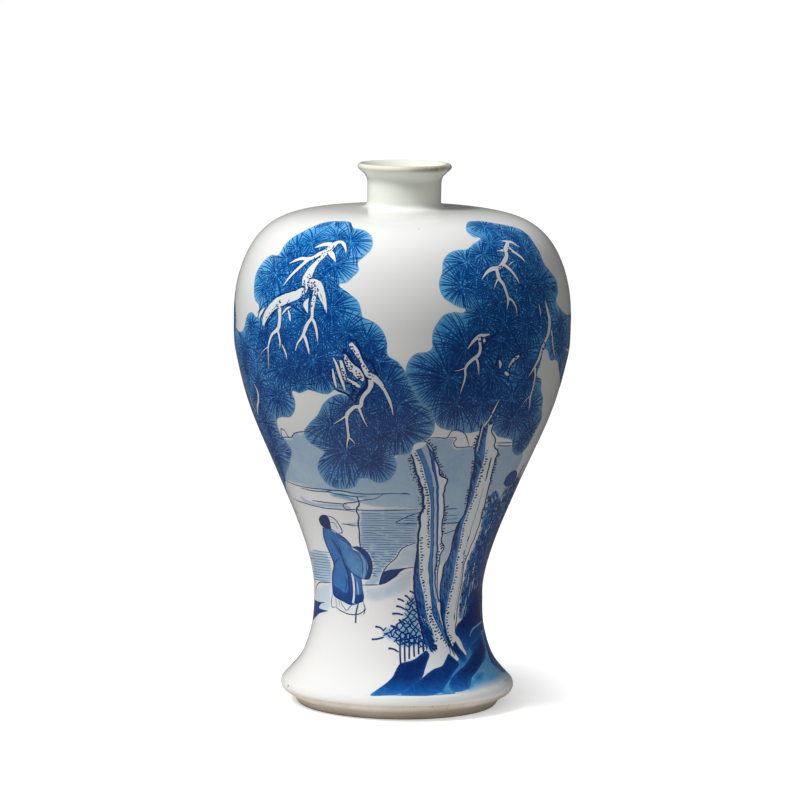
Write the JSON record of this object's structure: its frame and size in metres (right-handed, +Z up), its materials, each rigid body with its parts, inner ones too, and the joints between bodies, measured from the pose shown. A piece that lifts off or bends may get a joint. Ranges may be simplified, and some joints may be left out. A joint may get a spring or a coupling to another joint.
{
  "type": "meiping vase",
  "caption": "Meiping porcelain vase with high round shoulders, small flared mouth, drawn-in waist and spreading foot; holds a flowering branch and stands on its foot ring.",
  "frame": {"origin": "centre of the foot ring, on the surface that the vase stands on", "axes": "+Z up along the vase's axis towards the mouth; the painted scene with the scholar faces -Y"},
  "size_m": [0.1672, 0.1672, 0.27],
  "materials": {
    "porcelain_clay": "fired bare porcelain, matt, faintly sandy",
    "luting_slip": "fired slip, matt",
    "painted_glaze": "glossy clear glaze, faintly blue, over cobalt painting",
    "clear_glaze": "glossy clear glaze"
  },
  "bodies": {
    "root": {"foot_section": "porcelain_clay", "belly_section": "porcelain_clay", "shoulder_section": "porcelain_clay", "neck_section": "porcelain_clay", "waist_slip_seam": "luting_slip", "belly_slip_seam": "luting_slip", "neck_slip_seam": "luting_slip", "outer_glaze": "painted_glaze", "inner_glaze": "clear_glaze", "base_glaze": "clear_glaze"}
  },
  "joints": []
}
